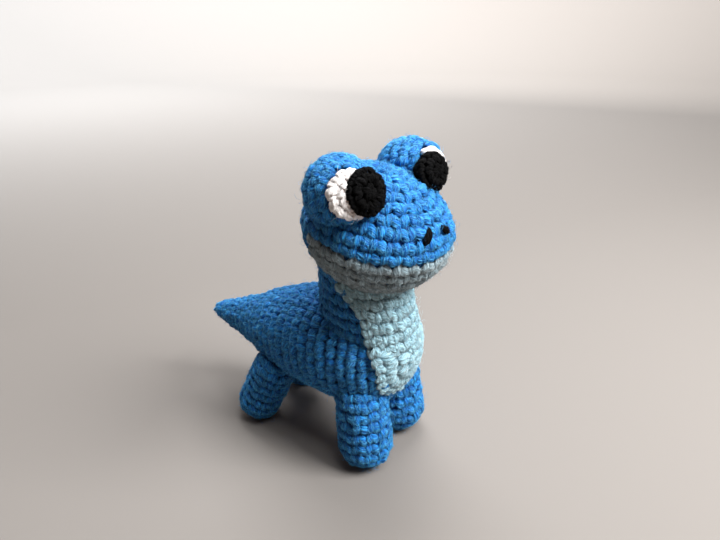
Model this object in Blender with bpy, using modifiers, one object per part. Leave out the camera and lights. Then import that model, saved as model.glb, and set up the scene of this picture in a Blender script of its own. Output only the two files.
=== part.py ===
"""Crocheted toy dinosaur: yarn covers over fibre stuffing, sewn together so that the
neck turns, the head nods, the tail wags and the four legs swing.

Run with: blender --background --python part.py
The toy faces -Y, its right side is -X and it stands on Z = 0. Lengths below are in
millimetres and angles in degrees; meshes are written in metres.
"""
import math

import bmesh
import bpy
from mathutils import Euler, Matrix, Vector

MM = 0.001

# --- Driving dimensions -------------------------------------------------------------

# Middle of the standing toy's bounding box, in the design's own coordinates, whose
# X = 0 is the body's mid-plane and whose Y = 0 lies between the front and hind legs.
BOX_MIDDLE = (-1.33, 7.57)

COVER = 2.2            # thickness of crocheted fabric
GAP = 0.3              # clearance between pieces that touch
RUNNING_GAP = 0.5      # clearance between pieces that move on each other
FILLING_DEPTH = COVER + 0.7  # how far the filling's surface lies below a cover's outside

# Body: turned about an axis that falls slightly towards the tail.
BODY_ORIGIN = (0.0, -16.0, 38.4)
BODY_SLOPE = 5.7
CHEST_LENGTH = 19.5    # front dome, ahead of the body origin
CHEST_RADIUS = 19.3
BELLY_AT = 10.0        # fattest place, behind the body origin
BELLY_RADIUS = 20.2
RUMP_CENTRE = 37.0     # centre of the round rump, which is the tail's pivot
RUMP_RADIUS = 13.5
RUMP_START = 23.0      # angle past the rump's equator where the belly's taper meets it

# Tail: a cone with a rounded tip, on the body's axis.
TAIL_BASE_AT = 43.0
TAIL_BASE_RADIUS = 10.6
TAIL_TIP_AT = 75.4
TAIL_TIP_RADIUS = 2.9

# Neck: an oval column with a domed top. The neck and all above it are turned
# slightly to the toy's right, as the toy holds its head.
NECK_AXIS = (0.0, -15.0)
NECK_TURNED = -10.75
NECK_SEAM = 51.0       # height of the seam between body and neck
NECK_HALF_WIDTH = 14.5
NECK_HALF_DEPTH = 18.0
NOD_HEIGHT = 66.0      # height of the head's pivot, and of the neck dome's centre

# Head, from the neck's axis: an ellipsoid with its nose tipped down.
HEAD_CENTRE = (0.0, -5.4, 87.1)
HEAD_RADII = (23.8, 24.6, 19.6)
HEAD_TILT = 12.0
CROWN_NARROWING = 0.25  # how much less wide the head is at its very top
BROW_SLOPE = 0.15       # how much the head's front draws back at its very top
MOUTH_LEVEL = -0.3     # the colour change, from the head's centre, in the tipped frame
JAW_BACK = 10.0        # how far behind the head's centre the pale jaw reaches

# Eyes, from the neck's axis, on the toy's left (+X) and mirrored to its right.
MOUND_CENTRE = (15.5, -4.8, 101.6)
MOUND_RADII = (10.5, 11.0, 11.0)
WHITE_CENTRE = (17.2, -10.4, 102.6)
WHITE_RADIUS = 7.5
WHITE_TURN = 18.0      # how far the eye's white looks outward, and up
WHITE_RISE = 12.5
WHITE_TOP = 2.2        # how far the white's outside stands off the mound
PUPIL_CENTRE = (14.5, -14.1, 103.0)
PUPIL_RADIUS = 6.1
PUPIL_TURN = 7.0
PUPIL_RISE = 17.0
PUPIL_TOP = 4.4
EYE_BAR = (-3.0, 14.0)  # how far the discs' blanks reach behind and ahead of their centres

# Nostrils: two short bundles of black stitches on the snout.
NOSTRIL_X = 4.1
NOSTRIL_HEIGHT = 8.2   # above the head's centre, in the tipped frame
NOSTRIL_LENGTH = 4.6
NOSTRIL_LEAN = 1.2     # how far the top end leans in towards the middle
NOSTRIL_RADIUS = 1.1

# Pale front: a round panel on the chest and an upright one on the throat.
PANEL_THICKNESS = 2.6
CHEST_PANEL_HEIGHT = 42.0
CHEST_PANEL_RADII = (12.4, 12.0)
THROAT_HALF_WIDTH = 12.5
THROAT_TOP = 62.5

# Legs, on the toy's left: foot centre, foot radius, hip centre, hip radius.
LEGS = {
    "front": ((11.8, -21.8, 9.2), 10.0, (11.5, -20.0, 26.0), 9.2),
    "rear": ((13.0, 27.6, 7.8), 8.6, (10.8, 20.4, 24.0), 8.5),
}
LEG_SWING = 12.0
LEG_OPENING = 40.0     # angle above the hip's equator where a leg's cover is open
SOCKET_DEPTH = 24.0    # how far below the hip the room for the leg's swing goes
SWING_ARM = 7.0        # how far below the hip a leg leaves the body
BAR_MARGIN = 0.3       # how much wider that room is than the hip's ball
BAR_RISE = 0.7         # how far above the hip it starts

# Yarn and filling colours (linear RGB).
BLUE = (0.035, 0.20, 0.62)
PALE_BLUE = (0.42, 0.62, 0.68)
WHITE = (0.80, 0.77, 0.74)
BLACK = (0.012, 0.012, 0.014)
FILLING = (0.82, 0.82, 0.79)

# Mesh fineness.
SIDES = 22             # around a turned piece
RINGS = 12             # from pole to pole of an ellipsoid

SIDE_SIGNS = {"right": -1, "left": 1}


# --- Scene and object helpers -------------------------------------------------------

def clear_scene():
    for old in list(bpy.data.objects):
        bpy.data.objects.remove(old, do_unlink=True)


def make_collection(name):
    collection = bpy.data.collections.new(name)
    bpy.context.scene.collection.children.link(collection)
    return collection


def make_empty(name, location, rotation=(0, 0, 0), parent=None):
    """A frame for pieces, placed in millimetres and degrees."""
    empty = bpy.data.objects.new(name, None)
    empty.location = Vector(location) * MM
    empty.rotation_euler = Euler([math.radians(angle) for angle in rotation])
    empty.parent = parent
    empty.empty_display_size = 0.01
    PARTS.objects.link(empty)
    return empty


def make_yarn(name, colour, roughness=0.9):
    material = bpy.data.materials.new(name)
    material.use_nodes = True
    shader = material.node_tree.nodes["Principled BSDF"]
    shader.inputs["Base Color"].default_value = (*colour, 1.0)
    shader.inputs["Roughness"].default_value = roughness
    shader.inputs["Metallic"].default_value = 0.0
    return material


def add_piece(name, mesh, frame, colour):
    """A sub-part of the toy, carried by its frame."""
    piece = bpy.data.objects.new(name, mesh)
    piece.parent = frame
    mesh.materials.append(make_yarn(name + "_material", colour))
    PARTS.objects.link(piece)
    return piece


def add_cutter(name, mesh, frame):
    """A solid that shapes other pieces and isn't part of the toy."""
    cutter = bpy.data.objects.new(name, mesh)
    cutter.parent = frame
    cutter.hide_render = True
    cutter.display_type = "WIRE"
    CUTTERS.objects.link(cutter)
    return cutter


def combine(piece, other, operation="DIFFERENCE"):
    modifier = piece.modifiers.new(operation.lower(), "BOOLEAN")
    modifier.operation = operation
    modifier.object = other
    modifier.solver = "EXACT"


def make_shell(piece, thickness=COVER):
    """Give an outer surface its thickness, inward."""
    solidify = piece.modifiers.new("fabric", "SOLIDIFY")
    solidify.thickness = thickness * MM
    solidify.offset = -1.0


# --- Shapes -------------------------------------------------------------------------

def ellipsoid_mesh(name, radii, sides=SIDES, rings=RINGS):
    shape = bmesh.new()
    bmesh.ops.create_uvsphere(shape, u_segments=sides, v_segments=rings, radius=1.0)
    bmesh.ops.scale(shape, vec=Vector(radii) * MM, verts=shape.verts)
    return finish_mesh(name, shape)


def cylinder_mesh(name, radii, bottom, top, sides=SIDES):
    """An upright oval cylinder; radii are (x, y)."""
    shape = bmesh.new()
    bmesh.ops.create_cone(shape, cap_ends=True, segments=sides, radius1=1.0, radius2=1.0,
                          depth=(top - bottom) * MM)
    bmesh.ops.scale(shape, vec=(radii[0] * MM, radii[1] * MM, 1.0), verts=shape.verts)
    bmesh.ops.translate(shape, vec=(0, 0, (top + bottom) / 2 * MM), verts=shape.verts)
    return finish_mesh(name, shape)


def box_mesh(name, low, high):
    shape = bmesh.new()
    bmesh.ops.create_cube(shape, size=1.0)
    size = Vector(high) - Vector(low)
    middle = (Vector(high) + Vector(low)) / 2
    bmesh.ops.scale(shape, vec=size * MM, verts=shape.verts)
    bmesh.ops.translate(shape, vec=middle * MM, verts=shape.verts)
    return finish_mesh(name, shape)


def finish_mesh(name, shape):
    mesh = bpy.data.meshes.new(name)
    shape.to_mesh(mesh)
    shape.free()
    mesh.shade_smooth()
    mesh.set_sharp_from_angle(angle=math.radians(50))
    return mesh


def turned_mesh(name, profile, sides=SIDES, squeeze=1.0):
    """A surface turned about Z. The profile lists (radius, height) from the top down,
    and squeeze narrows the result along X."""
    outline = bpy.data.meshes.new(name + "_profile")
    points = [(radius * MM, 0.0, height * MM) for radius, height in profile]
    outline.from_pydata(points, [(i, i + 1) for i in range(len(points) - 1)], [])
    lathe = bpy.data.objects.new(name + "_lathe", outline)
    CUTTERS.objects.link(lathe)
    screw = lathe.modifiers.new("turn", "SCREW")
    screw.axis = "Z"
    screw.angle = math.tau
    screw.steps = sides
    screw.render_steps = sides
    screw.use_merge_vertices = True
    screw.merge_threshold = 0.00001
    screw.use_smooth_shade = True
    bpy.context.view_layer.update()
    graph = bpy.context.evaluated_depsgraph_get()
    mesh = bpy.data.meshes.new_from_object(lathe.evaluated_get(graph))
    mesh.name = name
    mesh.transform(Matrix.Diagonal((squeeze, 1.0, 1.0, 1.0)))
    bpy.data.objects.remove(lathe, do_unlink=True)
    return mesh


def arc(radius, height, start, end, steps):
    """Profile points on a circle about (0, height), from one elevation to another."""
    angles = [math.radians(start + (end - start) * i / steps) for i in range(steps + 1)]
    return [(radius * math.cos(a), height + radius * math.sin(a)) for a in angles]


def offset_profile(profile, distance):
    """The profile moved outward by a distance, with its ends kept on the axis."""
    moved = []
    last = len(profile) - 1
    for i, (radius, height) in enumerate(profile):
        before = profile[max(i - 1, 0)]
        after = profile[min(i + 1, last)]
        run = Vector((after[0] - before[0], after[1] - before[1])).normalized()
        normal = Vector((-run.y, run.x))
        if radius < 0.01:
            normal = Vector((0.0, 1.0 if i == 0 else -1.0))
        moved.append((radius + normal.x * distance, height + normal.y * distance))
    return [(max(radius, 0.0), height) for radius, height in moved]


def design_point(x, y, z):
    """A point of the design's coordinates in the finished part's frame."""
    return (x - BOX_MIDDLE[0], y - BOX_MIDDLE[1], z)


# --- Body and tail ------------------------------------------------------------------

def body_profile(distance=0.0):
    """The body's outline about its axis, from the rump's pole to the chest's."""
    rump = arc(RUMP_RADIUS, RUMP_CENTRE, 90.0, RUMP_START, 5)
    end_radius, end_at = rump[-1]
    length = end_at - BELLY_AT
    end_slope = -math.tan(math.radians(RUMP_START)) * length
    taper = []
    for i in range(1, 5):
        t = 1.0 - i / 5
        blend = t * t * (3 - 2 * t)
        radius = BELLY_RADIUS + (end_radius - BELLY_RADIUS) * blend
        taper.append((radius + end_slope * (t ** 3 - t ** 2), BELLY_AT + length * t))
    belly = [(BELLY_RADIUS, BELLY_AT)]
    chest = []
    for i in range(7):
        angle = math.radians(90.0 * i / 6)
        chest.append((CHEST_RADIUS * math.cos(angle), -CHEST_LENGTH * math.sin(angle)))
    profile = rump + taper + belly + chest
    return offset_profile(profile, distance)


def tail_profile(distance=0.0):
    tip = arc(TAIL_TIP_RADIUS, TAIL_TIP_AT, 90.0, 15.0, 4)
    cone = []
    for i in range(1, 7):
        t = i / 6
        at = tip[-1][1] + (TAIL_BASE_AT - tip[-1][1]) * t
        cone.append((tip[-1][0] + (TAIL_BASE_RADIUS - tip[-1][0]) * t, at))
    return offset_profile(tip + cone, distance)


def build_body(body_frame, neck_seat, leg_rooms):
    cover = add_piece("body_cover", turned_mesh("body_cover", body_profile(), 24), body_frame, BLUE)
    make_shell(cover)
    inside = turned_mesh("body_stuffing", body_profile(-FILLING_DEPTH), 16)
    stuffing = add_piece("body_stuffing", inside, body_frame, FILLING)
    for piece in (cover, stuffing):
        combine(piece, neck_seat)
        for room in leg_rooms:
            combine(piece, room)


def build_chest_panel(body_frame, root_frame):
    """A pale slab that follows the chest, inside a round outline cut flat at the seam."""
    outer = turned_mesh("chest_panel", body_profile(GAP + PANEL_THICKNESS), 28)
    panel = add_piece("chest_panel", outer, body_frame, PALE_BLUE)
    under = add_cutter("chest_under", turned_mesh("chest_under", body_profile(GAP), 28), body_frame)
    width, height = CHEST_PANEL_RADII
    outline = cylinder_mesh("chest_outline", (width, height), 8.0, 60.0)
    top = (NECK_SEAM - GAP - CHEST_PANEL_HEIGHT) * MM
    for vertex in outline.vertices:
        vertex.co.y = min(vertex.co.y, top)
    frame = make_empty("chest_outline_frame", design_point(0, -16, CHEST_PANEL_HEIGHT), (90, 0, 0),
                       root_frame)
    combine(panel, under)
    combine(panel, add_cutter("chest_outline", outline, frame), "INTERSECT")


def build_tail(tail_frame):
    """A cone whose open end is hollowed to slide on the round rump."""
    at_pivot = Matrix.Translation((0, 0, -RUMP_CENTRE * MM))
    outside = turned_mesh("tail_cover", tail_profile(), 18)
    outside.transform(at_pivot)
    cover = add_piece("tail_cover", outside, tail_frame, BLUE)
    make_shell(cover)
    inner_profile = tail_profile(-FILLING_DEPTH)
    inside = turned_mesh("tail_stuffing", inner_profile + [(0.0, inner_profile[-1][1])], 12)
    inside.transform(at_pivot)
    stuffing = add_piece("tail_stuffing", inside, tail_frame, FILLING)
    reach = RUMP_RADIUS + RUNNING_GAP
    rump = add_cutter("rump_room", ellipsoid_mesh("rump_room", (reach,) * 3, 26, 16), tail_frame)
    for piece in (cover, stuffing):
        combine(piece, rump)


# --- Neck ---------------------------------------------------------------------------

def neck_profile(distance=0.0):
    """The neck's outline, from the top of its dome down to the seam with the body,
    with heights from the nod pivot and the depth of the oval as its radius."""
    dome = arc(NECK_HALF_DEPTH, 0.0, 90.0, 0.0, 6)
    floor = NECK_SEAM + RUNNING_GAP - NOD_HEIGHT
    column = [(NECK_HALF_DEPTH, floor / 2), (NECK_HALF_DEPTH, floor)]
    profile = dome + column
    return [(max(radius + distance * (radius > 0.01), 0.0), height + distance * (height > 0))
            for radius, height in profile]


def neck_squeeze(distance=0.0):
    return (NECK_HALF_WIDTH + distance) / (NECK_HALF_DEPTH + distance)


def build_neck(neck_frame):
    outside = turned_mesh("neck_cover", neck_profile(), SIDES, neck_squeeze())
    cover = add_piece("neck_cover", outside, neck_frame, BLUE)
    make_shell(cover)
    inner = -FILLING_DEPTH
    inner_profile = neck_profile(inner)
    closed = inner_profile + [(0.0, inner_profile[-1][1])]
    inside = turned_mesh("neck_stuffing", closed, 16, neck_squeeze(inner))
    add_piece("neck_stuffing", inside, neck_frame, FILLING)


def build_throat_panel(neck_frame):
    """A pale slab on the front of the neck, from the seam to just under the jaw."""
    floor = NECK_SEAM + RUNNING_GAP - NOD_HEIGHT
    top = THROAT_TOP - NOD_HEIGHT
    outer = GAP + PANEL_THICKNESS
    radii = (NECK_HALF_WIDTH + outer, NECK_HALF_DEPTH + outer)
    panel = add_piece("throat_panel", cylinder_mesh("throat_panel", radii, floor, top, 32),
                      neck_frame, PALE_BLUE)
    radii = (NECK_HALF_WIDTH + GAP, NECK_HALF_DEPTH + GAP)
    under = cylinder_mesh("throat_under", radii, floor - 5, top + 5, 32)
    front = box_mesh("throat_front", (-THROAT_HALF_WIDTH, -40, -30), (THROAT_HALF_WIDTH, -3, 30))
    combine(panel, add_cutter("throat_under", under, neck_frame))
    combine(panel, add_cutter("throat_front", front, neck_frame), "INTERSECT")


# --- Head ---------------------------------------------------------------------------

def head_mesh(name, distance=0.0, sides=24, rings=14):
    """An ellipsoid grown by a distance, narrower and drawn back towards its crown."""
    radii = [radius + distance for radius in HEAD_RADII]
    mesh = ellipsoid_mesh(name, radii, sides, rings)
    for vertex in mesh.vertices:
        rise = max(vertex.co.z / (radii[2] * MM), 0.0) ** 2
        vertex.co.x *= 1.0 - CROWN_NARROWING * rise
        if vertex.co.y < 0.0:
            vertex.co.y *= 1.0 - BROW_SLOPE * rise
    return mesh


def above_pivot(point):
    """A point given from the neck's axis, as seen from the nod pivot."""
    return (point[0], point[1], point[2] - NOD_HEIGHT)


def build_head(nod_frame, skull_frame):
    """Blue cover and pale jaw of one shell, parted along the mouth, and the filling."""
    clearance = RUNNING_GAP
    dome_radii = (NECK_HALF_WIDTH + clearance, NECK_HALF_DEPTH + clearance,
                  NECK_HALF_DEPTH + clearance)
    dome_room = add_cutter("dome_room", ellipsoid_mesh("dome_room", dome_radii, 28, 18), nod_frame)
    cover = add_piece("head_cover", head_mesh("head_cover"), skull_frame, BLUE)
    jaw = add_piece("jaw_cover", head_mesh("jaw_cover"), skull_frame, PALE_BLUE)
    stuffing = add_piece("head_stuffing", head_mesh("head_stuffing", -FILLING_DEPTH, 18, 10),
                         skull_frame, FILLING)
    jaw_room = box_mesh("jaw_room", (-40, -40, -40), (40, JAW_BACK, MOUTH_LEVEL))
    jaw_block = box_mesh("jaw_block", (-40, -40, -40), (40, JAW_BACK - GAP, MOUTH_LEVEL - GAP))
    make_shell(cover)
    combine(cover, dome_room)
    combine(cover, add_cutter("jaw_room", jaw_room, skull_frame))
    make_shell(jaw)
    combine(jaw, dome_room)
    combine(jaw, add_cutter("jaw_block", jaw_block, skull_frame), "INTERSECT")
    combine(stuffing, dome_room)


def build_nostril(side, skull_frame):
    """A short satin stitch that lies on the snout and leans in at its top."""
    sign = SIDE_SIGNS[side]
    stand_off = GAP + NOSTRIL_RADIUS
    wide, deep, tall = [radius + stand_off for radius in HEAD_RADII]
    curve = bpy.data.curves.new("nostril_stitch_" + side, "CURVE")
    curve.dimensions = "3D"
    curve.bevel_depth = NOSTRIL_RADIUS * MM
    curve.bevel_resolution = 2
    curve.use_fill_caps = True
    spline = curve.splines.new("POLY")
    spline.points.add(4)
    for i, point in enumerate(spline.points):
        along = i / 4 - 0.5
        x = sign * (NOSTRIL_X - NOSTRIL_LEAN * along)
        z = NOSTRIL_HEIGHT + (NOSTRIL_LENGTH - 2 * NOSTRIL_RADIUS) * along
        y = -deep * math.sqrt(1 - (x / wide) ** 2 - (z / tall) ** 2)
        point.co = (x * MM, y * MM, z * MM, 1.0)
    add_piece("nostril_stitch_" + side, curve, skull_frame, BLACK)


def mound_layer(name, side, distance, nod_frame):
    """One eye mound grown by a distance."""
    radii = [radius + distance for radius in MOUND_RADII]
    layer = add_cutter(name + side, ellipsoid_mesh(name, radii), nod_frame)
    layer.location = on_side(MOUND_CENTRE, side)
    return layer


def on_side(centre, side):
    """A place on one side of the head, from the nod pivot, in metres."""
    x, y, z = above_pivot(centre)
    return Vector((SIDE_SIGNS[side] * x, y, z)) * MM


def aim_disc(disc, centre, turn, rise, side):
    """Point a round bar out of the eye, outward by one angle and up by another."""
    disc.location = on_side(centre, side)
    outward = SIDE_SIGNS[side] * turn
    disc.rotation_euler = Euler((math.radians(90 - rise), 0.0, math.radians(outward)))


def build_mound(side, nod_frame, skin):
    """A ball cap that sits on the head, and its filling."""
    cover = add_piece("eye_mound_" + side, ellipsoid_mesh("eye_mound", MOUND_RADII), nod_frame, BLUE)
    make_shell(cover)
    inner = [radius - FILLING_DEPTH for radius in MOUND_RADII]
    filling = add_piece("eye_mound_stuffing_" + side, ellipsoid_mesh("eye_filling", inner, 14, 8),
                        nod_frame, FILLING)
    for piece in (cover, filling):
        piece.location = on_side(MOUND_CENTRE, side)
        combine(piece, skin)


def build_eye(side, nod_frame, skull_frame):
    """Mound, white and pupil: each disc is draped on what lies under it."""
    skin = add_cutter("skin_" + side, head_mesh("skin", GAP), skull_frame)
    build_mound(side, nod_frame, skin)
    under = mound_layer("under_", side, GAP, nod_frame)

    bar = cylinder_mesh("eye_white", (WHITE_RADIUS, WHITE_RADIUS), *EYE_BAR, 22)
    white = add_piece("eye_white_" + side, bar, nod_frame, WHITE)
    aim_disc(white, WHITE_CENTRE, WHITE_TURN, WHITE_RISE, side)
    combine(white, mound_layer("white_top_", side, WHITE_TOP, nod_frame), "INTERSECT")

    room = WHITE_RADIUS + GAP
    white_room = add_cutter("white_room_" + side, cylinder_mesh("white_room", (room, room), *EYE_BAR, 22),
                            nod_frame)
    aim_disc(white_room, WHITE_CENTRE, WHITE_TURN, WHITE_RISE, side)
    combine(white_room, mound_layer("over_white_", side, WHITE_TOP + GAP, nod_frame), "INTERSECT")

    bar = cylinder_mesh("pupil", (PUPIL_RADIUS, PUPIL_RADIUS), *EYE_BAR, 22)
    pupil = add_piece("pupil_" + side, bar, nod_frame, BLACK)
    aim_disc(pupil, PUPIL_CENTRE, PUPIL_TURN, PUPIL_RISE, side)
    combine(pupil, mound_layer("pupil_top_", side, PUPIL_TOP, nod_frame), "INTERSECT")
    combine(pupil, white_room)
    for disc in (white, pupil):
        combine(disc, under)
        combine(disc, skin)


# --- Legs ---------------------------------------------------------------------------

def leg_name(where, side):
    return where + "_" + side


def mirrored(point, sign):
    return Vector((point[0] * sign, point[1], point[2]))


def leg_profile(foot_radius, hip_radius, length, distance=0.0, opening=90.0):
    """A leg's outline about its axis, from its top down, with heights from the hip."""
    top = arc(hip_radius, 0.0, opening, 0.0, 4)
    foot = arc(foot_radius, -length, 0.0, -90.0, 5)
    middle = [((hip_radius + foot_radius) / 2, -length / 2)]
    return offset_profile(top + middle + foot, distance)


def build_leg(where, side, root_frame, ground):
    sign = SIDE_SIGNS[side]
    foot, foot_radius, hip, hip_radius = LEGS[where]
    name = leg_name(where, side)
    along = mirrored(hip, sign) - mirrored(foot, sign)
    lean = along.to_track_quat("Z", "Y").to_euler()
    rotation = [math.degrees(angle) for angle in lean]
    frame = make_empty("hip_" + name, design_point(*mirrored(hip, sign)), rotation, root_frame)
    length = along.length
    outline = leg_profile(foot_radius, hip_radius, length, 0.0, LEG_OPENING)
    cover = add_piece("leg_cover_" + name, turned_mesh("leg_cover_" + name, outline, 16), frame, BLUE)
    make_shell(cover)
    outline = leg_profile(foot_radius, hip_radius, length, -FILLING_DEPTH)
    add_piece("leg_stuffing_" + name, turned_mesh("leg_stuffing_" + name, outline, 12), frame,
              FILLING)
    combine(cover, ground)


def leg_rooms(root_frame):
    """Hollows in the body in which the tops of the legs turn: a ball and, below it,
    a bar that is longer fore and aft by the legs' swing."""
    rooms = []
    for where, (foot, foot_radius, hip, hip_radius) in LEGS.items():
        for side, sign in SIDE_SIGNS.items():
            name = leg_name(where, side)
            frame = make_empty("room_" + name, design_point(*mirrored(hip, sign)), (0, 0, 0), root_frame)
            ball_radius = hip_radius + RUNNING_GAP
            ball = ellipsoid_mesh("ball_" + name, (ball_radius,) * 3, 20, 12)
            rooms.append(add_cutter("ball_" + name, ball, frame))
            across = ball_radius + BAR_MARGIN
            along = across + SWING_ARM * math.sin(math.radians(LEG_SWING))
            bar = cylinder_mesh("bar_" + name, (across, along), -SOCKET_DEPTH, BAR_RISE, 20)
            lean_per_mm = (mirrored(hip, sign) - mirrored(foot, sign)) / (hip[2] - foot[2])
            for vertex in bar.vertices:
                vertex.co.x += lean_per_mm.x * vertex.co.z
                vertex.co.y += lean_per_mm.y * vertex.co.z
            rooms.append(add_cutter("bar_" + name, bar, frame))
    return rooms


# --- Assembly -----------------------------------------------------------------------

def build_toy():
    root_frame = make_empty("toy", (0, 0, 0))
    body_frame = make_empty("body_axis", design_point(*BODY_ORIGIN), (-90 - BODY_SLOPE, 0, 0), root_frame)
    tail_frame = make_empty("tail_pivot", (0, 0, RUMP_CENTRE), (0, 0, 0), body_frame)
    neck_frame = make_empty("neck_turn_axis", design_point(*NECK_AXIS, NOD_HEIGHT), (0, 0, NECK_TURNED),
                            root_frame)
    nod_frame = make_empty("nod_axis", (0, 0, 0), (0, 0, 0), neck_frame)
    skull_frame = make_empty("skull", above_pivot(HEAD_CENTRE), (HEAD_TILT, 0, 0), nod_frame)

    seat_frame = make_empty("neck_seat_frame", design_point(*NECK_AXIS, NECK_SEAM), (0, 0, 0), root_frame)
    seat_radius = NECK_HALF_DEPTH + RUNNING_GAP
    seat_mesh = cylinder_mesh("neck_seat", (seat_radius, seat_radius), 0.0, 30.0, 36)
    neck_seat = add_cutter("neck_seat", seat_mesh, seat_frame)
    ground = add_cutter("ground", box_mesh("ground", (-90, -90, -20), (90, 90, 0)), root_frame)

    build_body(body_frame, neck_seat, leg_rooms(root_frame))
    build_chest_panel(body_frame, root_frame)
    build_tail(tail_frame)
    build_neck(neck_frame)
    build_throat_panel(neck_frame)
    build_head(nod_frame, skull_frame)
    for side in SIDE_SIGNS:
        build_nostril(side, skull_frame)
        build_eye(side, nod_frame, skull_frame)
        for where in LEGS:
            build_leg(where, side, root_frame, ground)


clear_scene()
PARTS = make_collection("crochet_dinosaur")
CUTTERS = make_collection("cutters")
build_toy()
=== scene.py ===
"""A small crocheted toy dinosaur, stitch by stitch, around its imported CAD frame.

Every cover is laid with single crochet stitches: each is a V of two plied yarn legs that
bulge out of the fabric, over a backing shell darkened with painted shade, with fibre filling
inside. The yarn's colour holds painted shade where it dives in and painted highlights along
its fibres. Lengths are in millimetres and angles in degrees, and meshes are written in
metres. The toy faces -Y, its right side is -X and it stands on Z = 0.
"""
import math

import bpy
import numpy as np
from mathutils import Euler, Matrix, Vector


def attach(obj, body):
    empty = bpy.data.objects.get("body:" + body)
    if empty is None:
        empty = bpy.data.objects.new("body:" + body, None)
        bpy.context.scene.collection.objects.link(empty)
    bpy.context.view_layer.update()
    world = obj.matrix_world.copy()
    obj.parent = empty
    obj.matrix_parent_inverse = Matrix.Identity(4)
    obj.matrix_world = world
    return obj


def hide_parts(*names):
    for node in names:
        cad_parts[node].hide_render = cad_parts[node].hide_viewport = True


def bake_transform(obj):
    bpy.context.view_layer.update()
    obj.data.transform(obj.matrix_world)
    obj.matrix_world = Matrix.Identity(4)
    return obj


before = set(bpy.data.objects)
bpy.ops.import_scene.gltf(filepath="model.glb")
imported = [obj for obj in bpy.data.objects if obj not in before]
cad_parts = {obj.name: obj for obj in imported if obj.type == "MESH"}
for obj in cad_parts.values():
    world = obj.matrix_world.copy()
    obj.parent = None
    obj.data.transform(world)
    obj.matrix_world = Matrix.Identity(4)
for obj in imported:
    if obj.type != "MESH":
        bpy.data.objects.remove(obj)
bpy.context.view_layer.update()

MM = 0.001
SIDE_SIGNS = {"right": -1, "left": 1}
RANDOM = np.random.default_rng(20)

# --- Driving dimensions ---
# The body, neck, head, mounds and legs are placed and sized as in the CAD model. The
# mouth, the eyes' discs, the nostrils, the chest patch and the throat differ from it by
# about a millimetre or two, to follow the photo more closely.

BOX_MIDDLE = (-1.33, 7.57)  # of the CAD design's own coordinates, now the origin
BODY_ORIGIN = (0.0, -16.0, 38.4)
BODY_SLOPE = 5.7
CHEST_SPHERE = 19.4
NECK_AXIS = (0.0, -15.0)
NECK_TURNED = -10.75       # at rest, to the toy's right
NOD_HEIGHT = 66.0
NECK_HALF = (14.5, 18.0)   # across and front to back
HEAD_CENTRE = (0.0, -5.4, 87.1)
HEAD_RADII = (23.8, 24.6, 19.6)
HEAD_TILT = 12.0
CROWN_NARROWING = 0.25
BROW_SLOPE = 0.15
MOUTH_LEVEL = 0.5
JAW_BACK = 10.0
MOUND_CENTRE = (15.5, -4.8, 101.6)
MOUND_RADIUS = 10.9
WHITE_CENTRE = (17.2, -10.4, 102.6)
WHITE_RADIUS = 7.6
WHITE_DISC_RADIUS = 8.0    # of the stitched disc, a little over the CAD's
PUPIL_AIM = (7.0, 17.0)    # outward and up
EYES = {                   # the white's centre, aim and lift; the pupil's centre and scale
    "right": ((17.2, -10.4, 102.6), (18.0, 12.5), 2.0, (15.0, -13.5, 103.0), (0.98, 1.06)),
    "left": ((15.5, -10.1, 102.6), (10.0, 12.5), 1.2, (13.9, -13.5, 103.0), (1.06, 0.93)),
}
PUPIL_OUTLINE = [
    (0.0, 5.9), (2.8, 5.8), (4.8, 5.2), (6.2, 4.0), (6.7, 2.3), (6.7, 0.6), (6.0, -1.2),
    (4.2, -3.0)]
UNDER_PUPIL = 5.9          # radius of the white's middle, which the pupil covers
NOSTRILS = {"right": (0.5, 1.9, 1.6), "left": (0.45, 1.1, 1.1)}  # gap, half height, slant
CHEST_PANEL_HEIGHT = 40.8
CHEST_PANEL_RADIUS = 12.6
CREASE_HEIGHT = 50.5       # the chest patch stops at the crease under the throat
LEGS = {                   # foot's centre and radius, then the hip's
    "front": ((11.8, -21.8, 9.2), 10.0, (11.5, -20.0, 26.0), 9.2),
    "rear": ((13.0, 27.6, 7.8), 8.6, (10.8, 20.4, 24.0), 8.5),
}
SOLE_HEIGHT, SOLE_GIVE = 0.9, 0.62  # below this height the sole is pressed up by this share
NECK_FLOOR, NECK_SPLIT, NECK_TOP = -19.5, -3.5, 14.0    # from the nod pivot
THROAT_SPLIT = -3.0
THROAT_HEIGHTS = [-17.0, -11.0, -7.7, -3.5, 0.0, 3.0, 8.0]
THROAT_REACHES = [47.0, 51.0, 53.5, 57.5, 69.0, 80.0, 86.0]

# --- Stitches ---

STITCH_WIDTH = 4.6
ROW_HEIGHT = 3.9
EYE_STITCH_WIDTH = 4.2
WHITE_STITCH_WIDTH = 3.3
PUPIL_STITCH_WIDTH = 2.9
WHITE_ROUNDS = [0.0, 2.7, 5.2, 7.7]
PUPIL_ROUNDS = [0.0, 2.9, 6.0, 9.0]
PANEL_STITCH_WIDTH = 4.3
THROAT_STITCH_WIDTH = 4.2
BODY_ROW_HEIGHT = 4.05
MOUND_ROW_HEIGHT = 3.6
PANEL_ROW_HEIGHT = 4.0
LEAST_STITCHES = 5         # in a round
LEG_RINGS = 11             # rings along one yarn leg
PLIES = 4
LEG_AROUND = 16            # points around a leg, four to a ply
LEG_WIDE, LEG_DEEP = 1.5, 0.92  # half sizes of a leg at its fullest
HAIRS = 9                  # stray fibres on each yarn leg
HAIR_RADIUS = 0.026
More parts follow.
